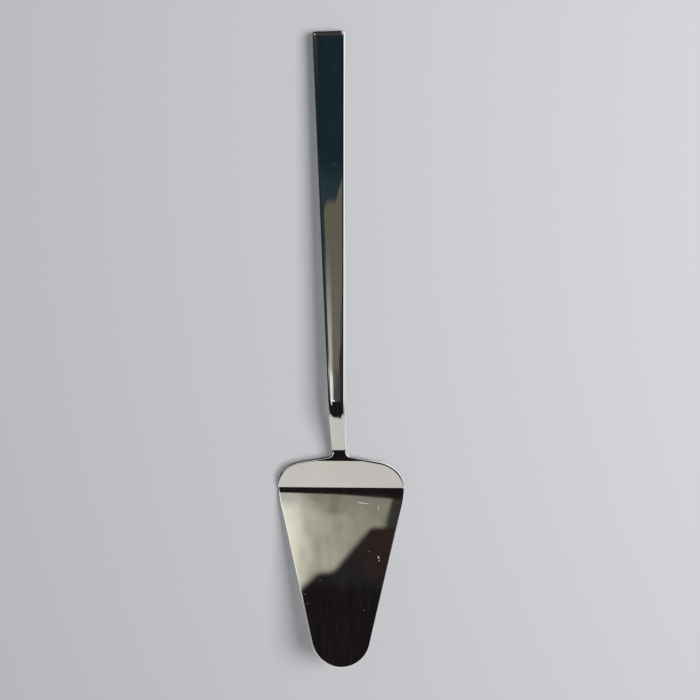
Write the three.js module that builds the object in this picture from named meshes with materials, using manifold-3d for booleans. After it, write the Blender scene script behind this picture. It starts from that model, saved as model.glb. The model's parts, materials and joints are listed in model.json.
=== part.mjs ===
// A cake server of polished stainless steel: a stamped, bent blade set into a hollow handle.
// The handle is two pressed half shells round a core of filler that grips the blade's tang.
// Millimetres. +Z is up, the tip points along -Y, the handle along +Y, and X runs across the blade.
// The server lies as it does on a table, on the heel of its crease and the lower edge of its butt.

import * as THREE from 'three';
import { mergeVertices } from 'three/addons/utils/BufferGeometryUtils.js';
import Module from 'manifold-3d';

// Blade plate
const bladeLength = 73.8;
const bladeWidth = 52;
const tipRadius = 12.2;
const heelRadius = 30;
const cornerRadius = 12;
const plateThickness = 1.5;
const plateEdgeRadius = 0.6;

// Shoulder, which rises from the crease and carries the neck
const riseAngle = 30.5;
const creaseRadius = 5;
const shoulderLength = 13;
const shoulderEdgeFall = 12;

// Neck, with a short flatter root between two small bends
const rootAngle = 15;
const rootBendRadius = 4;
const rootLength = 3.9;
const rootFillet = 2.2;
const neckLength = 15.9;
const neckRootWidth = 5.6;
const neckTopWidth = 6.5;
const neckThickness = 3;
const neckEdgeRadius = 0.8;

// Knee, which bends the neck down into the line of the handle
const kneeRadius = 22;
const kneeWaist = 0.15;

// Handle, from its mouth at the knee to its butt
const handleAngle = 11.2;
const handleLength = 143.5;
const mouthWidth = 6.75;
const buttWidth = 12.7;
const mouthThickness = 5;
const buttThickness = 6.4;
const handleEdgeRadius = 1.8;
const buttEdgeRadius = 2.2;
const buttCornerRadius = 0.8;
const wall = 0.9;

// Tang inside the handle: a spigot that fills the mouth, then a notched strip
const spigotLength = 4;
const tangLength = 48;
const tangWidth = 2.8;
const tangThickness = 1.4;
const tangEdgeRadius = 0.2;
const notchDepth = 0.5;
const notchLength = 3;
const notchPitch = 10;

// Clearance between neighbouring pieces
const fit = 0.3;

// Fineness of the facets
const edgeSteps = 4;
const arcStep = 5;
const bendStep = 4;
const closestRows = 0.04;
const weldDistance = 1e-3;

const rise = THREE.MathUtils.degToRad(riseAngle);
const root = THREE.MathUtils.degToRad(rootAngle);
const tilt = THREE.MathUtils.degToRad(handleAngle);
const quarter = Math.PI / 2;

// Lengths of the bends along the upper surface, and where each stretch starts, measured from the crease
const creaseArc = creaseRadius * rise;
const rootArc = rootBendRadius * (rise - root);
const kneeArc = kneeRadius * (rise - tilt);
const rootStart = shoulderLength;
const neckStart = rootStart + rootLength;
const kneeStart = neckStart + neckLength;
const mouth = kneeStart + kneeArc;

// Stretches of the upper surface behind the flat blade: a length and the angle turned along it
const stretches = [
  { length: creaseArc, turn: rise },
  { length: rootStart - rootArc / 2, turn: 0 },
  { length: rootArc, turn: root - rise },
  { length: rootLength - rootArc, turn: 0 },
  { length: rootArc, turn: rise - root },
  { length: neckLength - rootArc / 2, turn: 0 },
  { length: kneeArc, turn: tilt - rise },
];

// Place and slope of the upper surface at a distance from the crease, towards the handle
function surfaceAt(distance) {
  let y = Math.min(distance, -creaseArc);
  let z = 0;
  let slope = 0;
  let left = distance + creaseArc;
  for (const stretch of [...stretches, { length: Infinity, turn: 0 }]) {
    if (left <= 0) {
      break;
    }
    const run = Math.min(left, stretch.length);
    if (stretch.turn === 0) {
      y += run * Math.cos(slope);
      z += run * Math.sin(slope);
    } else {
      const radius = stretch.length / stretch.turn;
      const end = slope + run / radius;
      y += radius * (Math.sin(end) - Math.sin(slope));
      z -= radius * (Math.cos(end) - Math.cos(slope));
      slope = end;
    }
    left -= run;
  }
  return { y, z, slope };
}

// A point of the bent sheet: across, along the upper surface and square to it
function bent(across, along, height) {
  const { y, z, slope } = surfaceAt(along);
  return new THREE.Vector3(across, y - height * Math.sin(slope), z + height * Math.cos(slope));
}

// Rows that a bend or a straight stretch needs along the sheet
function stretchRows() {
  const rows = [];
  let start = -creaseArc;
  for (const { length, turn } of stretches) {
    const count = Math.max(1, Math.ceil(Math.abs(THREE.MathUtils.radToDeg(turn)) / bendStep));
    for (let step = 0; step <= count; step += 1) {
      rows.push(start + (length * step) / count);
    }
    start += length;
  }
  return rows;
}

// Flat outline of the blade: a tip circle, wide arcs up to the crease, corner arcs above it and lines that touch them
const tipCentre = new THREE.Vector2(0, tipRadius - bladeLength);
const heelCentre = new THREE.Vector2(bladeWidth / 2 - heelRadius, 0);
const cornerCentre = new THREE.Vector2(bladeWidth / 2 - cornerRadius, 0);
const centreLine = heelCentre.clone().sub(tipCentre);
const sideAngle = centreLine.angle() - Math.acos((tipRadius - heelRadius) / centreLine.length());
const topAngle = quarter - THREE.MathUtils.degToRad(shoulderEdgeFall);
const sideNormal = new THREE.Vector2(Math.cos(sideAngle), Math.sin(sideAngle));
const topNormal = new THREE.Vector2(Math.cos(topAngle), Math.sin(topAngle));
const sideReach = sideNormal.dot(heelCentre) + heelRadius;
const topReach = topNormal.dot(cornerCentre) + cornerRadius;
const filletX = neckRootWidth / 2 + rootFillet;
const filletCentre = new THREE.Vector2(filletX, (topReach + rootFillet - topNormal.x * filletX) / topNormal.y);

const tipEnd = tipCentre.y + tipRadius * sideNormal.y;
const heelStart = heelCentre.y + heelRadius * sideNormal.y;
const cornerEnd = cornerCentre.y + cornerRadius * topNormal.y;
const filletStart = filletCentre.y - rootFillet * topNormal.y;
const filletEnd = filletCentre.y;

// Half width and outward direction on a circle of the outline, bulging out or hollow
function onCircle(centre, radius, along, side) {
  const climb = THREE.MathUtils.clamp((along - centre.y) / radius, -1, 1);
  const reach = Math.sqrt(1 - climb * climb);
  const outward = new THREE.Vector2(reach, side * climb);
  return { half: centre.x + side * radius * reach, outward };
}

// Half width and outward direction on a straight side of the outline
function onLine(normal, reach, along) {
  return { half: (reach - normal.y * along) / normal.x, outward: normal };
}

// Half width of the neck and the knee, which is drawn in at its middle
function neckHalf(along) {
  if (along <= kneeStart) {
    const share = (along - filletEnd) / (kneeStart - filletEnd);
    return THREE.MathUtils.lerp(neckRootWidth, neckTopWidth, share) / 2;
  }
  const share = (along - kneeStart) / kneeArc;
  const waist = kneeWaist * Math.sin(Math.PI * share) ** 2;
  return (THREE.MathUtils.lerp(neckTopWidth, mouthWidth, share) - waist) / 2;
}

// Half width of the sheet and the outward direction of its edge, at a distance from the crease
function outlineAt(along) {
  if (along < tipEnd) {
    return onCircle(tipCentre, tipRadius, along, 1);
  }
  if (along < heelStart) {
    return onLine(sideNormal, sideReach, along);
  }
  if (along < heelCentre.y) {
    return onCircle(heelCentre, heelRadius, along, 1);
  }
  if (along < cornerEnd) {
    return onCircle(cornerCentre, cornerRadius, along, 1);
  }
  if (along < filletStart) {
    return onLine(topNormal, topReach, along);
  }
  if (along < filletEnd) {
    return onCircle(filletCentre, rootFillet, along, -1);
  }
  return { half: neckHalf(along), outward: new THREE.Vector2(1, 0) };
}

// Thickness of the sheet: even in the plate, fuller in the neck and as deep as the handle at its mouth
function thicknessAt(along) {
  const atNeck = THREE.MathUtils.smoothstep(along, rootStart, neckStart);
  const atMouth = THREE.MathUtils.smoothstep(along, neckStart, mouth);
  return plateThickness + (neckThickness - plateThickness) * atNeck + (mouthThickness - neckThickness) * atMouth;
}

// Rounding of the long edges, which grows from the plate to the knee and is the handle's from there on
function edgeRadiusAt(along) {
  const atNeck = THREE.MathUtils.smoothstep(along, rootStart, neckStart);
  const atKnee = THREE.MathUtils.smoothstep(along, neckStart, kneeStart);
  return plateEdgeRadius + (neckEdgeRadius - plateEdgeRadius) * atNeck
    + (handleEdgeRadius - neckEdgeRadius) * atKnee;
}

// Rounded edge of a section from top to bottom: how far each point lies inside the outline, and its height
function edgeProfile(thickness, radius) {
  const points = [];
  for (let step = 0; step <= edgeSteps; step += 1) {
    const angle = (quarter * step) / edgeSteps;
    points.push({ inset: radius * (1 - Math.sin(angle)), height: radius * (Math.cos(angle) - 1) });
  }
  const lower = points.map(({ inset, height }) => ({ inset, height: -thickness - height }));
  return [...points, ...lower.reverse()];
}

// Closed ring of points round a section: down its right edge and up its left one
function sectionRing(half, outward, along, top, thickness, radius, place) {
  const profile = edgeProfile(thickness, radius);
  const right = profile.map(({ inset, height }) => place(
    Math.max(0, half - inset * outward.x), along - inset * outward.y, top + height));
  const left = right.map((point) => new THREE.Vector3(-point.x, point.y, point.z)).reverse();
  return [...right, ...left];
}

// Closed surface through a row of rings, with flat ends. Facets that shrink to a line are left out.
function skin(rings) {
  const count = rings[0].length;
  const positions = rings.flat().flatMap((point) => point.toArray());
  const triangles = [];
  for (let ring = 0; ring + 1 < rings.length; ring += 1) {
    for (let point = 0; point < count; point += 1) {
      const next = (point + 1) % count;
      const here = ring * count;
      const there = here + count;
      triangles.push([here + point, there + next, there + point]);
      triangles.push([here + point, here + next, there + next]);
    }
  }
  const last = (rings.length - 1) * count;
  for (let point = 1; point + 1 < count; point += 1) {
    triangles.push([0, point + 1, point]);
    triangles.push([last, last + point, last + point + 1]);
  }
  const geometry = new THREE.BufferGeometry();
  geometry.setAttribute('position', new THREE.Float32BufferAttribute(positions, 3));
  geometry.setIndex(triangles.flat());
  return withoutSlivers(mergeVertices(geometry, weldDistance));
}

// The same geometry without the facets that have two corners in one place
function withoutSlivers(geometry) {
  const index = geometry.getIndex().array;
  const kept = [];
  for (let first = 0; first < index.length; first += 3) {
    const [a, b, c] = [index[first], index[first + 1], index[first + 2]];
    if (a !== b && b !== c && c !== a) {
      kept.push(a, b, c);
    }
  }
  geometry.setIndex(kept);
  return geometry;
}

// Distances from the crease at which the blade has a row of points
function bladeRows() {
  const rows = stretchRows();
  const addArc = (centre, radius, from, to) => {
    const count = Math.ceil(THREE.MathUtils.radToDeg(Math.abs(to - from)) / arcStep);
    for (let step = 0; step <= count; step += 1) {
      rows.push(centre.y + radius * Math.sin(from + ((to - from) * step) / count));
    }
  };
  addArc(tipCentre, tipRadius, -quarter, sideAngle);
  addArc(heelCentre, heelRadius, sideAngle, 0);
  addArc(cornerCentre, cornerRadius, 0, topAngle);
  addArc(filletCentre, rootFillet, -topAngle, 0);
  const kept = [-bladeLength];
  for (const row of rows.sort((a, b) => a - b)) {
    if (row - kept.at(-1) > closestRows) {
      kept.push(row);
    }
  }
  kept[kept.length - 1] = mouth;
  return kept;
}

// Rings of the spigot and of the notched tang, which run straight on inside the handle
function tangRings() {
  const square = new THREE.Vector2(1, 0);
  const middle = -mouthThickness / 2;
  const spigotHalf = mouthWidth / 2 - wall - fit;
  const spigotThickness = mouthThickness - 2 * (wall + fit);
  const spigotEdge = handleEdgeRadius - wall - fit;
  const rings = [];
  for (const along of [mouth, mouth + spigotLength]) {
    rings.push(sectionRing(
      spigotHalf, square, along, middle + spigotThickness / 2, spigotThickness, spigotEdge, bent));
  }
  const strip = (along, half) => rings.push(sectionRing(
    half, square, mouth + along, middle + tangThickness / 2, tangThickness, tangEdgeRadius, bent));
  strip(spigotLength, tangWidth / 2);
  for (let notch = spigotLength + notchPitch; notch + notchLength < tangLength; notch += notchPitch) {
    strip(notch - notchLength / 2, tangWidth / 2);
    strip(notch, tangWidth / 2 - notchDepth);
    strip(notch + notchLength / 2, tangWidth / 2);
  }
  strip(tangLength, tangWidth / 2);
  return rings;
}

// Blade: plate, crease, shoulder, root, neck and knee in one sheet, with the tang behind
function bladeGeometry() {
  const rings = bladeRows().map((along) => {
    const { half, outward } = outlineAt(along);
    return sectionRing(half, outward, along, 0, thicknessAt(along), edgeRadiusAt(along), bent);
  });
  return skin([...rings, ...tangRings()]);
}

// A point of the handle in its own frame, with its middle plane at height 0
function straight(across, along, height) {
  return new THREE.Vector3(across, along, height);
}

// Ring of the handle's section, drawn in on all sides by the depth inside its outer face
function handleRing(along, depth, sideTrim, faceTrim) {
  const share = along / handleLength;
  const half = THREE.MathUtils.lerp(mouthWidth, buttWidth, share) / 2 - depth - sideTrim;
  const thickness = THREE.MathUtils.lerp(mouthThickness, buttThickness, share) - 2 * (depth + faceTrim);
  const radius = Math.min(handleEdgeRadius - depth, thickness / 2);
  return sectionRing(half, new THREE.Vector2(1, 0), along, thickness / 2, thickness, radius, straight);
}

// How far a rounded end draws in at a distance from its end
function endTrim(radius, fromEnd) {
  const into = Math.max(0, radius - fromEnd);
  return radius - Math.sqrt(radius * radius - into * into);
}

// Outer form of the handle, with a softly rounded butt
function handleOuter() {
  const rings = [handleRing(fit, 0, 0, 0)];
  const count = 2 * edgeSteps;
  for (let step = 0; step <= count; step += 1) {
    const fromEnd = buttEdgeRadius * (1 - Math.sin((quarter * step) / count));
    const sideTrim = endTrim(buttCornerRadius, fromEnd);
    const faceTrim = endTrim(buttEdgeRadius, fromEnd);
    rings.push(handleRing(handleLength - fromEnd, 0, sideTrim, faceTrim));
  }
  return skin(rings);
}

// Straight-ended form inside the handle, at a depth below its outer face
function handleInner(start, end, depth) {
  return skin([handleRing(start, depth, 0, 0), handleRing(end, depth, 0, 0)]);
}

const wasm = await Module();
wasm.setup();

// A three.js geometry as a solid that can be joined and cut
function solid(geometry) {
  const bare = geometry.clone();
  bare.deleteAttribute('normal');
  bare.deleteAttribute('uv');
  const merged = mergeVertices(bare, weldDistance);
  return new wasm.Manifold(new wasm.Mesh({
    numProp: 3,
    vertProperties: new Float32Array(merged.getAttribute('position').array),
    triVerts: new Uint32Array(merged.getIndex().array),
  }));
}

// A cut solid as a three.js geometry
function geometryOf(shape) {
  const { vertProperties, triVerts } = shape.getMesh();
  const geometry = new THREE.BufferGeometry();
  geometry.setAttribute('position', new THREE.BufferAttribute(vertProperties, 3));
  geometry.setIndex(new THREE.BufferAttribute(triVerts, 1));
  return geometry;
}

// Box between two corners
function box(low, high) {
  const size = high.clone().sub(low);
  const middle = high.clone().add(low).multiplyScalar(0.5);
  return new THREE.BoxGeometry(...size.toArray()).translate(...middle.toArray());
}

// Hollow handle, open at its mouth, before it is parted
function handleShell() {
  const cavity = handleInner(-wall, handleLength - wall, wall);
  return solid(handleOuter()).subtract(solid(cavity));
}

// One half of the handle, on the front or back of the parting plane
function halfShell(side) {
  const low = new THREE.Vector3(-buttWidth, -handleLength, fit / 2);
  const high = new THREE.Vector3(buttWidth, 2 * handleLength, buttThickness);
  const half = box(low, high);
  if (side < 0) {
    half.rotateY(Math.PI);
  }
  return geometryOf(handleShell().intersect(solid(half)));
}

// Filler between the spigot and the butt, with a slot for the tang
function fillerGeometry() {
  const start = spigotLength + fit;
  const core = handleInner(start, handleLength - wall - fit, wall + fit);
  const slotHalf = tangWidth / 2 + fit;
  const slotDepth = tangThickness / 2 + fit;
  const slot = box(
    new THREE.Vector3(-slotHalf, 0, -slotDepth),
    new THREE.Vector3(slotHalf, tangLength + fit, slotDepth));
  return geometryOf(solid(core).subtract(solid(slot)));
}

function polishedSteel() {
  return new THREE.MeshStandardMaterial({ color: 0xb9b5ae, metalness: 1, roughness: 0.1 });
}

function fillerCement() {
  return new THREE.MeshStandardMaterial({ color: 0x8f8a80, metalness: 0, roughness: 0.8 });
}

function named(name, geometry, material) {
  const mesh = new THREE.Mesh(geometry, material);
  mesh.name = name;
  return mesh;
}

// Handle in the line of the tang, with its upper face level with the knee's
function handleGroup() {
  const group = new THREE.Group();
  group.position.copy(bent(0, mouth, -mouthThickness / 2));
  group.rotation.x = tilt;
  group.add(named('handle_front_shell', halfShell(1), polishedSteel()));
  group.add(named('handle_back_shell', halfShell(-1), polishedSteel()));
  group.add(named('handle_filler', fillerGeometry(), fillerCement()));
  return group;
}

// Angle at which the heel of the crease and the butt's lower edge both touch the table
function restAngle(handle) {
  const bendRadius = creaseRadius + plateThickness;
  const bend = new THREE.Vector2(-creaseArc, creaseRadius);
  const lowerEdge = new THREE.Vector3(
    0, handleLength - buttEdgeRadius, buttEdgeRadius - buttThickness / 2);
  handle.updateMatrix();
  lowerEdge.applyMatrix4(handle.matrix);
  const reach = new THREE.Vector2(lowerEdge.y, lowerEdge.z).sub(bend);
  return reach.angle() - Math.asin((buttEdgeRadius - bendRadius) / reach.length());
}

const server = new THREE.Group();
const laid = new THREE.Group();
const handle = handleGroup();
laid.add(named('blade', bladeGeometry(), polishedSteel()), handle);
laid.rotation.x = -restAngle(handle);
server.add(laid);

// The origin is under the middle of the whole server, on the table
const bounds = new THREE.Box3().setFromObject(server, true);
const middle = bounds.getCenter(new THREE.Vector3());
laid.position.set(-middle.x, -middle.y, -bounds.min.z);
server.updateMatrixWorld(true);

export default server;
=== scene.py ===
"""Dresses the cake server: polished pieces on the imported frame, a pale floor, soft light and a camera."""

import json
import logging
import math
from collections.abc import Callable, Iterator
from contextlib import contextmanager
from dataclasses import dataclass
from enum import Enum

import bmesh
import bpy
from mathutils import Matrix, Vector

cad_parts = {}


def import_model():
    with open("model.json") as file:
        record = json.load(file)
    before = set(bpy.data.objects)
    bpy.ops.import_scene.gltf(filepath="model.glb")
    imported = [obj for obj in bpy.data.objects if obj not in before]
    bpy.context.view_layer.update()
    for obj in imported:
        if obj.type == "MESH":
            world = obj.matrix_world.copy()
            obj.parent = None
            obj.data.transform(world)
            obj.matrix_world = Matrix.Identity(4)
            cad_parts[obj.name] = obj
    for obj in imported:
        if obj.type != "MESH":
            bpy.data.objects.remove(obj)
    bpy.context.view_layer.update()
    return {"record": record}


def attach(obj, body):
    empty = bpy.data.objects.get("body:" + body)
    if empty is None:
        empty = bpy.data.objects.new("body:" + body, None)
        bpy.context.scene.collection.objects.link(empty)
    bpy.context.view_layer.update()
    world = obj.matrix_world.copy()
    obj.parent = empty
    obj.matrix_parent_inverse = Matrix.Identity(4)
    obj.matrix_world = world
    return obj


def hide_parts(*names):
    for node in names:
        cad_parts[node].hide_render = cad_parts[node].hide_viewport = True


LOG = logging.getLogger("cake_server")
MM = 0.001

# Points nearer than the first are one point, and edges that turn by more than the second stay sharp
TOUCH = 0.001 * MM
SHARP_FROM = math.radians(50)

Colour = tuple[float, float, float]
Place = tuple[float, float, float]
Cell = tuple[float, float, float]
Span = tuple[float, float]


class Slot(Enum):
    """Names of the record's material slots for the blade and the handle, which the pieces don't read."""

    BLADE = "blade_steel"
    HANDLE = "handle_steel"


class Side(Enum):
    """Which half of the handle a shell is, as the sign of its height above the parting plane."""

    FRONT = 1
    BACK = -1


class Lie(Enum):
    """How a card is hung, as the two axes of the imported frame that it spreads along."""

    LEVEL = (0, 1)
    UPRIGHT = (2, 1)


# Sums and sizes that the pieces share


def between(first: float, second: float, share: float) -> float:
    """Gives the value that lies a share of the way from the first value to the second."""
    return first + (second - first) * share


def smoothstep(value: float, start: float, end: float) -> float:
    """Eases from 0 at the start to 1 at the end.

    Args:
        value: Where to take the share.
        start: Where it leaves 0.
        end: Where it reaches 1.

    Returns:
        The eased share.
    """
    share = min(1.0, max(0.0, (value - start) / (end - start)))
    return share * share * (3 - 2 * share)


def end_trim(radius: float, from_end: float) -> float:
    """Gives how far a rounded end draws in.

    Args:
        radius: The end's rounding.
        from_end: Distance from the end.

    Returns:
        The trim on one side there.
    """
    into = max(0.0, radius - from_end)
    return radius - math.sqrt(radius * radius - into * into)


@dataclass(frozen=True)
class Bend:
    """A bend of the sheet: where it starts along it, its length there and the angle that it turns."""

    start: float
    length: float
    turn: float
    steps: int

    def folds(self) -> list[tuple[float, float]]:
        """Splits the bend into even folds.

        Returns:
            The place along the sheet and the angle of each fold.
        """
        step = self.length / self.steps
        return [(self.start + (index + 0.5) * step, self.turn / self.steps) for index in range(self.steps)]


@dataclass(frozen=True)
class Section:
    """A section of the handle or of the tang: its distance from the mouth, its width and its thickness."""

    place: float
    width: float
    thickness: float


@dataclass(frozen=True)
class Profile:
    """Side profile of the sheet from the crease to the handle's mouth, and the section at that mouth."""

    rise: float = math.radians(30.5)
    root: float = math.radians(15)
    tilt: float = math.radians(11.2)
    crease_radius: float = 5 * MM
    root_radius: float = 4 * MM
    knee_radius: float = 22 * MM
    shoulder_length: float = 13 * MM
    root_length: float = 3.9 * MM
    neck_length: float = 15.9 * MM
    mouth_width: float = 6.75 * MM
    mouth_thickness: float = 5 * MM
    mouth_edge: float = 1.8 * MM
    crease_folds: int = 12
    root_folds: int = 6
    knee_folds: int = 16

    @property
    def neck_start(self) -> float:
        """Where the neck starts behind its root."""
        return self.shoulder_length + self.root_length

    @property
    def knee_start(self) -> float:
        """Where the knee starts to bend."""
        return self.neck_start + self.neck_length

    @property
    def knee_length(self) -> float:
        """Length of the knee along its upper face."""
        return self.knee_radius * (self.rise - self.tilt)

    @property
    def mouth(self) -> float:
        """Where the sheet ends and the handle starts."""
        return self.knee_start + self.knee_length

    def bends(self) -> list[Bend]:
        """Lists the bends from the crease to the knee.

        Returns:
            The bends in the order in which they lie along the sheet.
        """
        crease = self.crease_radius * self.rise
        joggle = self.root_radius * (self.rise - self.root)
        return [
            Bend(-crease, crease, self.rise, self.crease_folds),
            Bend(self.shoulder_length - joggle / 2, joggle, self.root - self.rise, self.root_folds),
            Bend(self.neck_start - joggle / 2, joggle, self.rise - self.root, self.root_folds),
            Bend(self.knee_start, self.knee_length, self.tilt - self.rise, self.knee_folds),
        ]

    def folds(self) -> list[tuple[float, float]]:
        """Gives the place along the sheet and the angle of each fold, from the crease to the knee."""
        return [fold for bend in self.bends() for fold in bend.folds()]

    def seat(self) -> Matrix:
        """Follows the folds to the mouth of the handle.

        Returns:
            The transform to the blade's frame from the handle's own, which has its mouth at the origin.
        """
        (last, slope), *others = self.folds()
        y, z = last, 0.0
        for place, turn in [*others, (self.mouth, 0.0)]:
            y += (place - last) * math.cos(slope)
            z += (place - last) * math.sin(slope)
            slope += turn
            last = place
        turned = Matrix.Translation((0, y, z)) @ Matrix.Rotation(slope, 4, "X")
        return turned @ Matrix.Translation((0, 0, -self.mouth_thickness / 2))


@dataclass(frozen=True)
class Resting:
    """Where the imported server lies: the blade's upper face, as the record's mount states it."""

    mount: str = "serving_face"
    mount_to_crease: float = 35 * MM

    def matrix(self, record: dict) -> Matrix:
        """Turns the blade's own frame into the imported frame.

        Args:
            record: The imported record.

        Returns:
            The transform from the blade's frame, with the crease at its origin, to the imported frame.
        """
        mount = next(item for item in record["mounts"] if item["name"] == self.mount)
        up = Vector(mount["axis"]).normalized()
        across = Vector((1, 0, 0))
        along = up.cross(across)
        origin = Vector(mount["pos_m"]) + along * self.mount_to_crease
        turn = Matrix((across, along, up)).transposed().to_4x4()
        return Matrix.Translation(origin) @ turn


# Modelling steps that the pieces share


class Bench:
    """Steps of modelling by hand, on the object that is being worked on."""

    @staticmethod
    def clear() -> None:
        """Leaves object mode with nothing selected."""
        if bpy.context.object and bpy.context.object.mode != "OBJECT":
            bpy.ops.object.mode_set(mode="OBJECT")
        bpy.ops.object.select_all(action="DESELECT")

    @staticmethod
    def work_on(obj: bpy.types.Object) -> None:
        """Makes an object the only one that is selected.

        Args:
            obj: The object to work on.
        """
        Bench.clear()
        obj.select_set(True)
        bpy.context.view_layer.objects.active = obj

    @staticmethod
    @contextmanager
    def editing(obj: bpy.types.Object) -> Iterator[None]:
        """Opens an object in edit mode for the steps of a with block.

        Args:
            obj: The object to work on.

        Yields:
            Nothing, while the object is open.
        """
        Bench.work_on(obj)
        bpy.ops.object.mode_set(mode="EDIT")
        yield
        bpy.ops.object.mode_set(mode="OBJECT")

    @staticmethod
    def pick(obj: bpy.types.Object, test: Callable[[Vector], bool]) -> None:
        """Selects the points of a mesh in edit mode by their place.

        Args:
            obj: The object in edit mode.
            test: Says whether a point at a place is picked.
        """
        bpy.ops.mesh.select_all(action="DESELECT")
        bpy.ops.mesh.select_mode(type="VERT")
        mesh = bmesh.from_edit_mesh(obj.data)
        for point in mesh.verts:
            point.select_set(test(point.co))
        mesh.select_flush(True)
        bmesh.update_edit_mesh(obj.data)

    @staticmethod
    def turn_about_x(angle: float, centre: Place) -> None:
        """Turns what is selected about a line along X, anticlockwise as seen from +X."""
        bpy.ops.transform.rotate(
            value=-angle, orient_axis="X", orient_type="GLOBAL", center_override=centre
        )

    @staticmethod
    def draw_through(sections: list[Section]) -> None:
        """Draws the selected end of a bar out along Y, through one section after another.

        Args:
            sections: The sections, which start with that of the selected end.
        """
        for last, new in zip(sections, sections[1:]):
            bpy.ops.mesh.extrude_region_move(
                TRANSFORM_OT_translate={"value": (0, new.place - last.place, 0)}
            )
            bpy.ops.transform.resize(
                value=(new.width / last.width, 1, new.thickness / last.thickness),
                center_override=(0, new.place, 0),
            )

    @staticmethod
    def apply(obj: bpy.types.Object, kind: str, **settings: object) -> None:
        """Adds a modifier with its settings and applies it.

        Args:
            obj: The object to work on.
            kind: The modifier's type.
            **settings: Values of the modifier's properties.
        """
        Bench.work_on(obj)
        modifier = obj.modifiers.new(kind.title(), kind)
        for name, value in settings.items():
            setattr(modifier, name, value)
        bpy.ops.object.modifier_apply(modifier=modifier.name)

    @staticmethod
    def smooth(obj: bpy.types.Object) -> None:
        """Shades a piece smooth, with its flat faces kept flat and its corners kept sharp.

        Args:
            obj: The piece.
        """
        Bench.work_on(obj)
        bpy.ops.object.shade_smooth_by_angle(angle=SHARP_FROM)
        Bench.apply(obj, "WEIGHTED_NORMAL", mode="FACE_AREA", weight=100, keep_sharp=True)

    @staticmethod
    def place(obj: bpy.types.Object, matrix: Matrix) -> None:
        """Moves a piece to its place and leaves its object at the origin.

        Args:
            obj: The piece.
            matrix: The transform to its place.
        """
        Bench.work_on(obj)
        obj.matrix_world = matrix
        bpy.ops.object.transform_apply(location=True, rotation=True, scale=True)


# The blade: a flat blank that is folded, thickened and rounded


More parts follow.
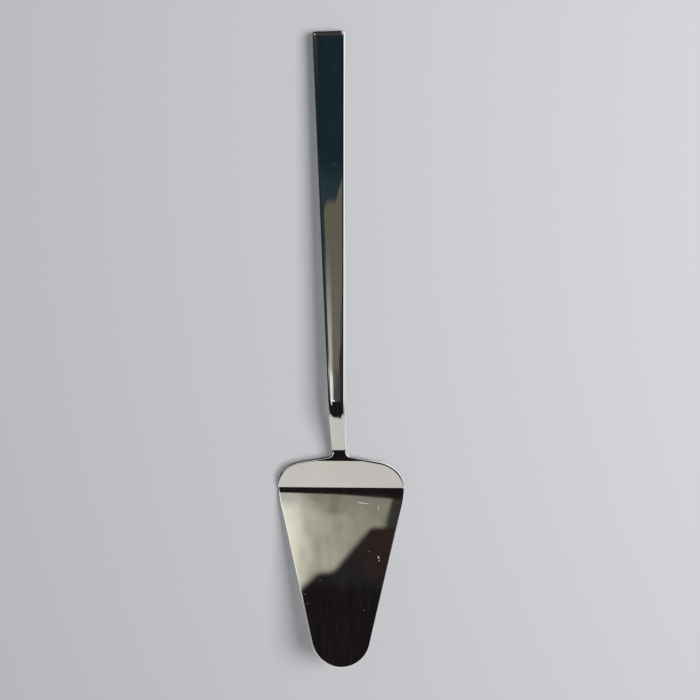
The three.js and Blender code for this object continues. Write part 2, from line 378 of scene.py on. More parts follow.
@dataclass(frozen=True)
class BladeSheet:
    """The stamped blade, from its tip to the end of its tang, drawn as a flat blank and folded."""

    profile: Profile
    length: float = 73.8 * MM
    width: float = 52 * MM
    tip_radius: float = 12.2 * MM
    heel_radius: float = 30 * MM
    corner_radius: float = 12 * MM
    top_edge_fall: float = math.radians(12)
    fillet_radius: float = 2.2 * MM
    plate_thickness: float = 1.5 * MM
    plate_edge: float = 0.6 * MM
    neck_root_width: float = 5.6 * MM
    neck_top_width: float = 6.5 * MM
    neck_thickness: float = 3 * MM
    neck_edge: float = 0.8 * MM
    knee_waist: float = 0.15 * MM
    spigot_inset: float = 1.2 * MM
    spigot_length: float = 4 * MM
    tang_length: float = 48 * MM
    tang_width: float = 2.8 * MM
    tang_thickness: float = 1.4 * MM
    notch_depth: float = 0.5 * MM
    notch_length: float = 3 * MM
    notch_pitch: float = 10 * MM
    crease_reach: float = 0.02 * MM
    row_pitch: float = 1 * MM
    arc_steps: int = 28
    least_arc_steps: int = 4
    knee_steps: int = 24
    edge_segments: int = 6

    def build(self, resting: Matrix) -> bpy.types.Object:
        """Makes the blade and puts it in its place.

        Args:
            resting: The transform from the blade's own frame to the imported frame.

        Returns:
            The finished blade.
        """
        blade = self.draw_blank()
        self.score(blade)
        self.mark_thickness(blade)
        self.fold(blade)
        self.thicken(blade)
        self.round_edges(blade)
        seat = self.profile.seat()
        Bench.place(blade, seat.inverted())
        self.draw_tang(blade)
        self.mark_crease(blade)
        Bench.smooth(blade)
        Bench.place(blade, resting @ seat)
        return blade

    def draw_blank(self) -> bpy.types.Object:
        """Draws half the flat outline from the tip to the mouth, mirrors it and fills it.

        Returns:
            The flat blank, in the plane of the blade's upper face.
        """
        tip_centre = Vector((0, self.tip_radius - self.length, 0))
        heel_centre = Vector((self.width / 2 - self.heel_radius, 0, 0))
        corner_centre = Vector((self.width / 2 - self.corner_radius, 0, 0))
        to_heel = heel_centre - tip_centre
        lean = math.acos((self.tip_radius - self.heel_radius) / to_heel.length)
        side = math.atan2(to_heel.y, to_heel.x) - lean
        side_normal = Vector((math.cos(side), math.sin(side), 0))
        top = math.pi / 2 - self.top_edge_fall
        top_normal = Vector((math.cos(top), math.sin(top), 0))
        fillet_x = self.neck_root_width / 2 + self.fillet_radius
        reach = top_normal.dot(corner_centre) + self.corner_radius + self.fillet_radius
        fillet_centre = Vector((fillet_x, (reach - top_normal.x * fillet_x) / top_normal.y, 0))

        Bench.clear()
        bpy.ops.mesh.primitive_plane_add(size=self.plate_thickness, location=(0, 0, 0))
        blade = bpy.context.object
        blade.name = "blade_sheet"
        with Bench.editing(blade):
            bpy.ops.mesh.select_all(action="SELECT")
            bpy.ops.mesh.merge(type="CENTER")
            bpy.ops.transform.translate(value=(0, -self.length, 0))
            self.sweep(tip_centre, math.pi / 2 + side)
            self.run_to(blade, heel_centre + self.heel_radius * side_normal)
            self.sweep(heel_centre, -side)
            self.sweep(corner_centre, top)
            self.run_to(blade, fillet_centre - self.fillet_radius * top_normal)
            self.sweep(fillet_centre, -top)
            for along in self.knee_rows():
                self.run_to(blade, Vector((self.neck_half(along, fillet_centre.y), along, 0)))
            self.run_to(blade, Vector((0, self.profile.mouth, 0)))
        Bench.apply(blade, "MIRROR", use_axis=(True, False, False), merge_threshold=TOUCH)
        with Bench.editing(blade):
            bpy.ops.mesh.select_all(action="SELECT")
            bpy.ops.mesh.edge_face_add()
        if blade.data.polygons[0].normal.z < 0:
            blade.data.flip_normals()
        return blade

    def sweep(self, centre: Vector, angle: float) -> None:
        """Draws an arc of the outline from its last point.

        Args:
            centre: The arc's centre.
            angle: The angle swept, anticlockwise as seen from above.
        """
        steps = max(self.least_arc_steps, round(self.arc_steps * abs(angle) / (math.pi / 2)))
        bpy.ops.mesh.spin(steps=steps, angle=-angle, center=centre, axis=(0, 0, 1))

    def run_to(self, blade: bpy.types.Object, place: Vector) -> None:
        """Draws a straight stretch of the outline from its last point.

        Args:
            blade: The blade in edit mode.
            place: Where the stretch ends.
        """
        mesh = bmesh.from_edit_mesh(blade.data)
        last = next(point.co.copy() for point in mesh.verts if point.select)
        bpy.ops.mesh.extrude_vertices_move(TRANSFORM_OT_translate={"value": place - last})

    def knee_rows(self) -> list[float]:
        """Lists where the outline of the knee has points.

        Returns:
            Distances from the crease along the sheet.
        """
        start = self.profile.knee_start
        step = self.profile.knee_length / self.knee_steps
        return [start + step * index for index in range(self.knee_steps + 1)]

    def neck_half(self, along: float, start: float) -> float:
        """Gives half the width of the neck and of the knee, which is drawn in at its middle.

        Args:
            along: Distance from the crease along the sheet.
            start: Where the neck leaves its root fillets.

        Returns:
            Half the width there.
        """
        knee = self.profile.knee_start
        if along <= knee:
            return between(self.neck_root_width, self.neck_top_width, (along - start) / (knee - start)) / 2
        share = (along - knee) / self.profile.knee_length
        waist = self.knee_waist * math.sin(math.pi * share) ** 2
        return (between(self.neck_top_width, self.profile.mouth_width, share) - waist) / 2

    def score(self, blade: bpy.types.Object) -> None:
        """Cuts the blank across at each fold and, from the shoulder's end on, at an even pitch.

        Args:
            blade: The flat blank.
        """
        start = self.profile.shoulder_length
        span = self.profile.mouth - start
        count = round(span / self.row_pitch)
        rows = [place for place, _ in self.profile.folds()]
        rows += [start + span * index / count for index in range(1, count)]
        with Bench.editing(blade):
            for row in sorted(rows):
                bpy.ops.mesh.select_all(action="SELECT")
                bpy.ops.mesh.bisect(plane_co=(0, row, 0), plane_no=(0, 1, 0))

    def mark_thickness(self, blade: bpy.types.Object) -> None:
        """Notes each point's place along the blank, and the thickness there as a share of the greatest.

        Args:
            blade: The flat blank.
        """
        places = [point.co.y for point in blade.data.vertices]
        blade.data.attributes.new("along", "FLOAT", "POINT").data.foreach_set("value", places)
        group = blade.vertex_groups.new(name="thickness")
        for index, place in enumerate(places):
            group.add([index], self.thickness(place) / self.profile.mouth_thickness, "REPLACE")

    def thickness(self, along: float) -> float:
        """Gives the sheet's thickness: even in the plate, fuller in the neck and fullest at the mouth.

        Args:
            along: Distance from the crease along the sheet.

        Returns:
            The thickness there.
        """
        at_neck = smoothstep(along, self.profile.shoulder_length, self.profile.neck_start)
        at_mouth = smoothstep(along, self.profile.neck_start, self.profile.mouth)
        plate = between(self.plate_thickness, self.neck_thickness, at_neck)
        return plate + (self.profile.mouth_thickness - self.neck_thickness) * at_mouth

    def edge_radius(self, along: float) -> float:
        """Gives the rounding of the long edges, which grows from the plate to the knee.

        Args:
            along: Distance from the crease along the sheet.

        Returns:
            The radius there.
        """
        at_neck = smoothstep(along, self.profile.shoulder_length, self.profile.neck_start)
        at_knee = smoothstep(along, self.profile.neck_start, self.profile.knee_start)
        plate = between(self.plate_edge, self.neck_edge, at_neck)
        return plate + (self.profile.mouth_edge - self.neck_edge) * at_knee

    def fold(self, blade: bpy.types.Object) -> None:
        """Folds the blank at each scored line, from the far end to the crease.

        Args:
            blade: The scored blank.
        """
        with Bench.editing(blade):
            for place, turn in sorted(self.profile.folds(), reverse=True):
                Bench.pick(blade, lambda spot, limit=place: spot.y > limit + TOUCH)
                Bench.turn_about_x(turn, (0, place, 0))

    def thicken(self, blade: bpy.types.Object) -> None:
        """Gives the sheet its thickness below its upper face, and marks the faces of its edge.

        Args:
            blade: The folded sheet.
        """
        for _ in ("sheet", "edge"):
            blade.data.materials.append(None)
        Bench.apply(
            blade,
            "SOLIDIFY",
            thickness=self.profile.mouth_thickness,
            offset=-1,
            use_even_offset=True,
            use_quality_normals=True,
            vertex_group="thickness",
            material_offset_rim=1,
        )

    def round_edges(self, blade: bpy.types.Object) -> None:
        """Rounds the upper and lower edges all round the sheet, but not the end that meets the handle.

        Args:
            blade: The thick sheet, whose edge has a material slot of its own.
        """
        mesh = blade.data
        along = [item.value for item in mesh.attributes["along"].data]
        slots_beside: dict[tuple[int, int], set[int]] = {}
        for face in mesh.polygons:
            for key in face.edge_keys:
                slots_beside.setdefault(key, set()).add(face.material_index)
        weights = mesh.attributes.new("bevel_weight_edge", "FLOAT", "EDGE")
        for edge in mesh.edges:
            middle = sum(along[index] for index in edge.vertices) / 2
            if len(slots_beside[edge.key]) == 2 and middle < self.profile.mouth - TOUCH:
                weights.data[edge.index].value = self.edge_radius(middle) / self.profile.mouth_edge
        Bench.apply(
            blade,
            "BEVEL",
            width=self.profile.mouth_edge,
            segments=self.edge_segments,
            limit_method="WEIGHT",
            use_clamp_overlap=False,
        )
        for face in mesh.polygons:
            face.material_index = 0
        mesh.materials.clear()

    def tang_sections(self) -> list[Section]:
        """Lists the sections of the spigot and of the notched tang behind it.

        Returns:
            The sections, which start with that of the sheet's end.
        """
        width, thickness = self.profile.mouth_width, self.profile.mouth_thickness
        spigot = (width - 2 * self.spigot_inset, thickness - 2 * self.spigot_inset)
        tang = (self.tang_width, self.tang_thickness)
        waist = (self.tang_width - 2 * self.notch_depth, self.tang_thickness)
        sections = [
            Section(0.0, width, thickness),
            Section(0.0, *spigot),
            Section(self.spigot_length, *spigot),
            Section(self.spigot_length, *tang),
        ]
        notch = self.spigot_length + self.notch_pitch
        while notch + self.notch_length < self.tang_length:
            sections.append(Section(notch - self.notch_length / 2, *tang))
            sections.append(Section(notch, *waist))
            sections.append(Section(notch + self.notch_length / 2, *tang))
            notch += self.notch_pitch
        return [*sections, Section(self.tang_length, *tang)]

    def draw_tang(self, blade: bpy.types.Object) -> None:
        """Draws the tang out of the sheet's end.

        Args:
            blade: The rounded sheet in the handle's frame, with its mouth at the origin.
        """
        with Bench.editing(blade):
            Bench.pick(blade, lambda spot: spot.y > -TOUCH)
            Bench.draw_through(self.tang_sections())

    def mark_crease(self, blade: bpy.types.Object) -> None:
        """Marks the line where the plate turns up into the crease as sharp, as the press leaves it.

        Args:
            blade: The rounded sheet.
        """
        line, _ = self.profile.folds()[0]
        from_line = [abs(item.value - line) for item in blade.data.attributes["along"].data]
        for edge in blade.data.edges:
            edge.use_edge_sharp = all(from_line[index] < self.crease_reach for index in edge.vertices)


# The handle: two pressed half shells


@dataclass(frozen=True)
class HandleShells:
    """The hollow handle: a tapered bar with soft edges, parted into a front and a back shell."""

    profile: Profile
    length: float = 143.5 * MM
    butt_width: float = 12.7 * MM
    butt_thickness: float = 6.4 * MM
    butt_edge: float = 2.2 * MM
    butt_corner: float = 0.8 * MM
    wall: float = 0.9 * MM
    hairline: float = 0.03 * MM
    edge_segments: int = 10
    butt_steps: int = 12

    def build(self, side: Side, resting: Matrix) -> bpy.types.Object:
        """Makes one shell and puts it in its place.

        Args:
            side: Which half of the handle to make.
            resting: The transform from the blade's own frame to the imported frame.

        Returns:
            The finished shell.
        """
        shell = self.bar()
        shell.name = f"handle_{side.name.lower()}"
        self.part(shell, side)
        Bench.apply(shell, "SOLIDIFY", thickness=self.wall, offset=-1, use_even_offset=True)
        Bench.smooth(shell)
        Bench.place(shell, resting @ self.profile.seat())
        return shell

    def section(self, place: float) -> Section:
        """Gives the section of the tapered bar.

        Args:
            place: Distance from the mouth.

        Returns:
            The section there, without the rounding of the butt.
        """
        share = place / self.length
        width = between(self.profile.mouth_width, self.butt_width, share)
        thickness = between(self.profile.mouth_thickness, self.butt_thickness, share)
        return Section(place, width, thickness)

    def butt_sections(self) -> list[Section]:
        """Lists the sections of the rounded butt, in small steps.

        Returns:
            The sections, which start with that of the straight bar's end.
        """
        sections = []
        for step in range(self.butt_steps + 1):
            reach = math.sin(math.pi / 2 * step / self.butt_steps)
            whole = self.section(self.length - self.butt_edge + self.butt_edge * reach)
            from_end = self.length - whole.place
            width = whole.width - 2 * end_trim(self.butt_corner, from_end)
            thickness = whole.thickness - 2 * end_trim(self.butt_edge, from_end)
            sections.append(Section(whole.place, width, thickness))
        return sections

    def bar(self) -> bpy.types.Object:
        """Makes the outside of the whole handle as a bar, open at its mouth.

        Returns:
            The bar, with its mouth at the origin and its middle plane level.
        """
        mouth = self.section(0.0)
        end = self.section(self.length - self.butt_edge)
        Bench.clear()
        bpy.ops.mesh.primitive_cube_add(size=1, location=(0, 0.5, 0))
        bar = bpy.context.object
        bpy.ops.object.transform_apply(location=True)
        with Bench.editing(bar):
            bpy.ops.mesh.select_all(action="SELECT")
            bpy.ops.transform.resize(
                value=(mouth.width, end.place, mouth.thickness), center_override=(0, 0, 0)
            )
            Bench.pick(bar, lambda spot: spot.y > end.place / 2)
            growth = (end.width / mouth.width, 1, end.thickness / mouth.thickness)
            bpy.ops.transform.resize(value=growth, center_override=(0, end.place, 0))
            self.soften_long_edges(bar)
            Bench.pick(bar, lambda spot: spot.y > end.place - TOUCH)
            Bench.draw_through(self.butt_sections())
            Bench.pick(bar, lambda spot: spot.y < TOUCH)
            bpy.ops.mesh.delete(type="ONLY_FACE")
        return bar

    def soften_long_edges(self, bar: bpy.types.Object) -> None:
        """Rounds the four long edges of the bar.

        Args:
            bar: The bar in edit mode.
        """
        bpy.ops.mesh.select_all(action="DESELECT")
        mesh = bmesh.from_edit_mesh(bar.data)
        for edge in mesh.edges:
            first, second = (point.co for point in edge.verts)
            edge.select_set(abs(first.y - second.y) > self.length / 2)
        bmesh.update_edit_mesh(bar.data)
        bpy.ops.mesh.bevel(
            offset=self.profile.mouth_edge,
            segments=self.edge_segments,
            affect="EDGES",
            clamp_overlap=False,
        )

    def part(self, shell: bpy.types.Object, side: Side) -> None:
        """Cuts the bar at the parting plane and at the mouth, and keeps one half.

        Args:
            shell: The bar to cut.
            side: Which half to keep.
        """
        parting = (0, 0, side.value * self.hairline / 2)
        mouth = (0, self.hairline, 0)
        with Bench.editing(shell):
            for place, kept in ((parting, (0, 0, side.value)), (mouth, (0, 1, 0))):
                bpy.ops.mesh.select_all(action="SELECT")
                bpy.ops.mesh.bisect(plane_co=place, plane_no=kept, clear_inner=True)


# Wiring of shader nodes

Value = float | Colour | bpy.types.NodeSocket
Sockets = dict[str, bpy.types.NodeSocket]


class Board:
    """A node tree that is being wired, with short names for the steps that come up often."""

    def __init__(self, tree: bpy.types.NodeTree) -> None:
        """Takes the tree to wire."""
        self.tree = tree

    def node(self, kind: str, **settings: object) -> bpy.types.Node:
        """Adds a node.

        Args:
            kind: The node's type.
            **settings: Values of the node's own properties.

        Returns:
            The new node.
        """
        node = self.tree.nodes.new(kind)
        for name, value in settings.items():
            setattr(node, name, value)
        return node

    def feed(self, socket: bpy.types.NodeSocket, value: Value) -> None:
        """Gives an input its value, or links it to an output.

        Args:
            socket: The input.
            value: The value, the colour or the output.
        """
        if isinstance(value, bpy.types.NodeSocket):
            self.tree.links.new(value, socket)
        elif isinstance(value, tuple) and len(value) < len(socket.default_value):
            socket.default_value = (*value, 1)
        else:
            socket.default_value = value

    def math(self, operation: str, first: Value, second: Value = 0.0) -> bpy.types.NodeSocket:
        """Adds one step of arithmetic.

        Args:
            operation: The Math node's operation.
            first: Its first input.
            second: Its second input.

        Returns:
            The result.
        """
        node = self.node("ShaderNodeMath", operation=operation)
        self.feed(node.inputs[0], first)
        self.feed(node.inputs[1], second)
        return node.outputs[0]

    def weigh(self, first: Value, share: float, second: Value, other: float) -> bpy.types.NodeSocket:
        """Adds two values, each times its weight.

        Args:
            first: The first value.
            share: The first value's weight.
            second: The second value.
            other: The second value's weight.

        Returns:
            The sum.
        """
        weighed = self.math("MULTIPLY", first, share)
        return self.math("ADD", weighed, self.math("MULTIPLY", second, other))

    def ease(
        self, value: Value, start: float, end: float, low: float = 0.0, high: float = 1.0
    ) -> bpy.types.NodeSocket:
        """Eases between two values.

        Args:
            value: The input.
            start: Input at which the result leaves its low value.
            end: Input at which the result reaches its high value.
            low: The low value.
            high: The high value.

        Returns:
            The eased value.
        """
        node = self.node("ShaderNodeMapRange", interpolation_type="SMOOTHSTEP")
        names = ("Value", "From Min", "From Max", "To Min", "To Max")
        for name, given in zip(names, (value, start, end, low, high)):
            self.feed(node.inputs[name], given)
        return node.outputs["Result"]

    def blend(self, share: Value, first: Value, second: Value) -> bpy.types.NodeSocket:
        """Mixes two colours.

        Args:
            share: Share of the second colour.
            first: The first colour.
            second: The second colour.

        Returns:
            The mixed colour.
        """
        node = self.node("ShaderNodeMix", data_type="RGBA")
        sockets = [item for item in node.inputs if item.enabled]
        for socket, given in zip(sockets, (share, first, second)):
            self.feed(socket, given)
        return next(item for item in node.outputs if item.enabled)

    def split(self, vector: bpy.types.NodeSocket) -> list[bpy.types.NodeSocket]:
        """Splits a place or a direction into its parts along X, Y and Z.

        Args:
            vector: The place or direction.

        Returns:
            The three parts.
        """
        node = self.node("ShaderNodeSeparateXYZ")
        self.feed(node.inputs[0], vector)
        return list(node.outputs)

    def stretched(self, vector: Value, cell: Cell) -> bpy.types.NodeSocket:
        """Scales a place so that one unit of it is a cell of a given size.

        Args:
            vector: The place.
            cell: The cell's size along each axis.

        Returns:
            The scaled place.
        """
        node = self.node("ShaderNodeVectorMath", operation="DIVIDE")
        self.feed(node.inputs[0], vector)
        self.feed(node.inputs[1], cell)
        return node.outputs[0]

    def noise(
        self, vector: Value, cell: Cell, detail: float, roughness: float = 0.5
    ) -> bpy.types.NodeSocket:
        """Adds cloudy noise.

        Args:
            vector: Where to take it.
            cell: Size of its cells along each axis.
            detail: Number of finer layers.
            roughness: How strong the finer layers are.

        Returns:
            The noise, from 0 to 1.
        """
        node = self.node("ShaderNodeTexNoise", noise_dimensions="3D")
        self.feed(node.inputs["Vector"], self.stretched(vector, cell))
        self.feed(node.inputs["Scale"], 1.0)
        self.feed(node.inputs["Detail"], detail)
        self.feed(node.inputs["Roughness"], roughness)
        return node.outputs[0]


def shared_group(
    name: str, outputs: tuple[str, ...], inputs: dict[str, float]
) -> tuple[Board, Sockets, Sockets]:
    """Starts a node group that several materials use.

    Args:
        name: The group's name.
        outputs: Names of its outputs, which are plain values.
        inputs: Default values of its inputs by name, besides the place on the piece.

    Returns:
        The board to wire, its inputs by name and its outputs by name.
    """
    tree = bpy.data.node_groups.new(name, "ShaderNodeTree")
    tree.interface.new_socket("Place", in_out="INPUT", socket_type="NodeSocketVector")
    for title, value in inputs.items():
        socket = tree.interface.new_socket(title, in_out="INPUT", socket_type="NodeSocketFloat")
        socket.default_value = value
    for title in outputs:
        tree.interface.new_socket(title, in_out="OUTPUT", socket_type="NodeSocketFloat")
    board = Board(tree)
    given = {item.name: item for item in board.node("NodeGroupInput").outputs}
    result = {item.name: item for item in board.node("NodeGroupOutput").inputs}
    return board, given, result


def new_material(name: str) -> tuple[bpy.types.Material, Board, bpy.types.NodeSocket]:
    """Starts a material.

    Args:
        name: The material's name.

    Returns:
        The material, its board and the place on the piece.
    """
    material = bpy.data.materials.new(name)
    material.use_nodes = True
    board = Board(material.node_tree)
    return material, board, board.node("ShaderNodeTexCoord").outputs["Object"]


# Finishes


@dataclass(frozen=True)
class PolishGrain:
    """Faint lines that the polishing wheel leaves along the steel, and a slight unevenness of its shine.

    Each span holds the values of the noise between which the lines, their bands or the haze come in.
    """

    name: str = "polish_grain"
    line: Cell = (0.33 * MM, 9 * MM, 60 * MM)
    line_span: Span = (0.44, 0.76)
    band: Cell = (3 * MM, 26 * MM, 60 * MM)
    band_span: Span = (0.32, 0.72)
    line_detail: float = 1.0
    haze: Cell = (14 * MM, 22 * MM, 14 * MM)
    haze_span: Span = (0.35, 0.7)
    haze_detail: float = 3.0

    def group(self) -> bpy.types.NodeTree:
        """Makes the node group.

        Returns:
            A group that gives the strength of the lines and of the haze, each from 0 to 1.
        """
        board, given, result = shared_group(self.name, ("Lines", "Haze"), {})
        place = given["Place"]
        fine = board.ease(board.noise(place, self.line, self.line_detail), *self.line_span)
        broad = board.ease(board.noise(place, self.band, self.line_detail), *self.band_span)
        haze = board.ease(board.noise(place, self.haze, self.haze_detail), *self.haze_span)
        board.feed(result["Lines"], board.math("MULTIPLY", fine, broad))
        board.feed(result["Haze"], haze)
        return board.tree


@dataclass(frozen=True)
class Scratch:
    """A mark on the steel, from a long scratch to a speck.

    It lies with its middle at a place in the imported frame, and its heading is in degrees from +X.
    """

    across: float
    along: float
    length: float
    heading: float
    width: float = 0.3 * MM
    strength: float = 1.0
    full_share: float = 0.2

    def mask(self, board: Board, x: Value, y: Value) -> bpy.types.NodeSocket:
        """Wires a mask that fades towards the mark's ends and sides.

        Args:
            board: The group's board.
            x: Place across.
            y: Place along.

        Returns:
            The mask, from 0 to the mark's strength.
        """
        turn = math.radians(self.heading)
        from_x = board.math("SUBTRACT", x, self.across)
        from_y = board.math("SUBTRACT", y, self.along)
        lengthwise = board.weigh(from_x, math.cos(turn), from_y, math.sin(turn))
        sideways = board.weigh(from_y, math.cos(turn), from_x, -math.sin(turn))
        full_length = self.length * self.full_share
        inside = board.ease(board.math("ABSOLUTE", lengthwise), self.length / 2, full_length)
        near = board.ease(board.math("ABSOLUTE", sideways), self.width / 2, 0.0)
        return board.math("MULTIPLY", board.math("MULTIPLY", inside, near), self.strength)


@dataclass(frozen=True)
class HandlingMarks:
    """Marks from use: some that stand out, and small specks and ticks scattered over the steel."""

    name: str = "handling_marks"
    tick: Cell = (3 * MM, 16 * MM, 3 * MM)
    speck: Cell = (5 * MM, 5 * MM, 5 * MM)
    tick_radius: float = 0.025
    speck_radius: float = 0.028
    least_size: float = 0.3

    def standing_out(self) -> list[Scratch]:
        """Lists the marks that stand out.

        Returns:
            Scratches below the crease, a knock and specks lower down, and a faint curl on the handle.
        """
        scratches = [
            Scratch(9.2 * MM, -61.6 * MM, 6.6 * MM, -7, 0.75 * MM),
            Scratch(15.4 * MM, -63.4 * MM, 3.6 * MM, 92, 0.4 * MM),
            Scratch(8.7 * MM, -63.7 * MM, 2.4 * MM, 106),
            Scratch(-21.2 * MM, -60.4 * MM, 2 * MM, 90, 0.6 * MM),
            Scratch(-17.3 * MM, -60.3 * MM, 2.6 * MM, 0),
            Scratch(-11.7 * MM, -61.8 * MM, 2 * MM, -38),
        ]
        knock = [
            Scratch(15.5 * MM, -83 * MM, 1.3 * MM, 110, 0.9 * MM),
            Scratch(15.8 * MM, -84.3 * MM, 0.6 * MM, 45, 0.6 * MM),
        ]
        specks = [
            Scratch(11.8 * MM, -80.6 * MM, 0.8 * MM, 105, 0.2 * MM),
            Scratch(-8.5 * MM, -92.5 * MM, 0.4 * MM, 20, 0.2 * MM),
            Scratch(-13.6 * MM, -101.6 * MM, 0.6 * MM, 10, 0.22 * MM),
            Scratch(-14.8 * MM, -98 * MM, 0.4 * MM, 60, 0.2 * MM),
            Scratch(9.6 * MM, -103.8 * MM, 0.4 * MM, 90, 0.22 * MM),
            Scratch(15.6 * MM, -94.4 * MM, 0.4 * MM, 45, 0.2 * MM),
        ]
        curl = [
            Scratch(0.9 * MM, 76.9 * MM, 2 * MM, -22, 0.8 * MM, 0.06),
            Scratch(1.8 * MM, 76.15 * MM, 2 * MM, -54, 0.8 * MM, 0.06),
        ]
        return [*scratches, *knock, *specks, *curl]

    def group(self) -> bpy.types.NodeTree:
        """Makes the node group.

        Returns:
            A group that gives a mask of the scratches and a mask of the specks.
        """
        board, given, result = shared_group(self.name, ("Scratches", "Specks"), {"Amount": 0.5})
        x, y, _ = board.split(given["Place"])
        marks = self.scatter(board, given, self.tick, self.tick_radius)
        for scratch in self.standing_out():
            marks = board.math("MAXIMUM", marks, scratch.mask(board, x, y))
        board.feed(result["Scratches"], marks)
        board.feed(result["Specks"], self.scatter(board, given, self.speck, self.speck_radius))
        return board.tree

    def scatter(
        self, board: Board, given: Sockets, cell: Cell, radius: float
    ) -> bpy.types.NodeSocket:
        """Scatters small marks, one to each chosen cell.

        Args:
            board: The group's board.
            given: The group's inputs.
            cell: Size of the cells, which also stretches the marks.
            radius: Radius of a mark, as a share of its cell, before it varies.

        Returns:
            A mask of the marks.
        """
        cells = board.node("ShaderNodeTexVoronoi", feature="F1")
        board.feed(cells.inputs["Vector"], board.stretched(given["Place"], cell))
        board.feed(cells.inputs["Scale"], 1.0)
        chance = board.node("ShaderNodeSeparateColor")
        board.feed(chance.inputs[0], cells.outputs["Color"])
        chosen = board.math("LESS_THAN", chance.outputs[0], given["Amount"])
        size = board.math("MULTIPLY", board.math("ADD", chance.outputs[1], self.least_size), radius)
        inside = board.math("LESS_THAN", cells.outputs["Distance"], size)
        return board.math("MULTIPLY", chosen, inside)


@dataclass(frozen=True)
class PolishedSteel:
    """Mirror-polished stainless steel."""

    name: str
    grain: bpy.types.NodeTree
    marks: bpy.types.NodeTree
    marked_share: float = 0.2
    tint: Colour = (0.70, 0.685, 0.66)
    dull_tint: Colour = (0.66, 0.65, 0.63)
    dust: Colour = (0.86, 0.85, 0.82)
    shine: float = 0.012
    haze_gain: float = 0.006
    line_gain: float = 0.008
    dust_gain: float = 0.5
    line_scatter: float = 0.018
    tick_scatter: float = 0.68

    def material(self) -> bpy.types.Material:
        """Makes the material.

        Returns:
            The new material.
        """
        material, board, place = new_material(self.name)
        shader = board.tree.nodes["Principled BSDF"]
        grain = board.node("ShaderNodeGroup", node_tree=self.grain)
        marks = board.node("ShaderNodeGroup", node_tree=self.marks)
        board.feed(grain.inputs["Place"], place)
        board.feed(marks.inputs["Place"], place)
        board.feed(marks.inputs["Amount"], self.marked_share)
        haze, lines = grain.outputs["Haze"], grain.outputs["Lines"]
        ticks = board.math("MULTIPLY", marks.outputs["Scratches"], self.tick_scatter)
        dusty = board.math("MAXIMUM", marks.outputs["Specks"], ticks)
        streaks = board.math("MULTIPLY", lines, self.line_scatter)

        steel = board.blend(haze, self.tint, self.dull_tint)
        board.feed(shader.inputs["Base Color"], board.blend(dusty, steel, self.dust))
        scattering = board.math("MAXIMUM", dusty, streaks)
        board.feed(shader.inputs["Metallic"], board.math("SUBTRACT", 1.0, scattering))
        rough: Value = self.shine
        for mask, gain in ((haze, self.haze_gain), (lines, self.line_gain), (dusty, self.dust_gain)):
            rough = board.math("ADD", rough, board.math("MULTIPLY", mask, gain))
        board.feed(shader.inputs["Roughness"], rough)
        return material


@dataclass(frozen=True)
class Cement:
    """The grey filler inside the handle."""

    name: str = "filler_cement"
    light: Colour = (0.46, 0.44, 0.40)
    dark: Colour = (0.36, 0.34, 0.30)
    grit: Cell = (0.8 * MM, 0.8 * MM, 0.8 * MM)
    grit_detail: float = 4.0
    grit_roughness: float = 0.6
    grit_span: Span = (0.3, 0.7)
    dullness: Span = (0.8, 0.95)

    def material(self) -> bpy.types.Material:
        """Makes the material.

        Returns:
            The new material.
        """
        material, board, place = new_material(self.name)
        shader = board.tree.nodes["Principled BSDF"]
        grit = board.noise(place, self.grit, self.grit_detail, self.grit_roughness)
        board.feed(shader.inputs["Base Color"], board.blend(grit, self.dark, self.light))
        board.feed(shader.inputs["Roughness"], board.ease(grit, *self.grit_span, *self.dullness))
        return material


# Camera


@dataclass(frozen=True)
class View:
    """The camera, at the photograph's viewing angle."""

    aim: Place = (5.98 * MM, 3.785 * MM, 10 * MM)
    distance: float = 551.5 * MM
    to_the_right: float = math.radians(5.985)
    towards_handle: float = math.radians(11.148)
    roll: float = math.radians(-1.303)
    sensor: float = 36.0
    focal_share: float = 1395 / 700
    nearest: float = 10 * MM

    def build(self) -> bpy.types.Object:
        """Adds the camera and makes it the scene's own.

        Returns:
            The camera.
        """
        back = Vector((
            math.sin(self.to_the_right),
            math.cos(self.to_the_right) * math.sin(self.towards_handle),
            math.cos(self.to_the_right) * math.cos(self.towards_handle),
        ))
        right = Vector((0, 1, 0)).cross(back).normalized()
        up = back.cross(right)
        turn = Matrix((right, up, back)).transposed().to_4x4() @ Matrix.Rotation(self.roll, 4, "Z")
        data = bpy.data.cameras.new("camera")
        data.sensor_width = self.sensor
        data.lens = self.sensor * self.focal_share
        data.clip_start = self.nearest
        camera = bpy.data.objects.new("camera", data)
        bpy.context.scene.collection.objects.link(camera)
        camera.matrix_world = Matrix.Translation(Vector(self.aim) + back * self.distance) @ turn
        bpy.context.scene.camera = camera
        return camera


# Patches of light and shade for the steel to mirror


@dataclass(frozen=True)
class SoftEdge:
    """A soft line; what it bounds lies where across * x + along * y is above the limit."""

    across: float
    along: float
    limit: float
    softness: float

    def share(self, board: Board, x: Value, y: Value) -> bpy.types.NodeSocket:
        """Wires the share that lies inside the line, eased over its softness."""
        reach = board.weigh(x, self.across, y, self.along)
        return board.ease(reach, self.limit - self.softness / 2, self.limit + self.softness / 2)


def right_of(x: float, softness: float) -> SoftEdge:
    """Bounds what lies to the right of a place."""
    return SoftEdge(1, 0, x, softness)


def left_of(x: float, softness: float) -> SoftEdge:
    """Bounds what lies to the left of a place."""
    return SoftEdge(-1, 0, -x, softness)


def beyond(y: float, softness: float) -> SoftEdge:
    """Bounds what lies farther along, towards the butt and past it."""
    return SoftEdge(0, 1, y, softness)


def before(y: float, softness: float) -> SoftEdge:
    """Bounds what lies less far along, towards the tip and past it."""
    return SoftEdge(0, -1, -y, softness)


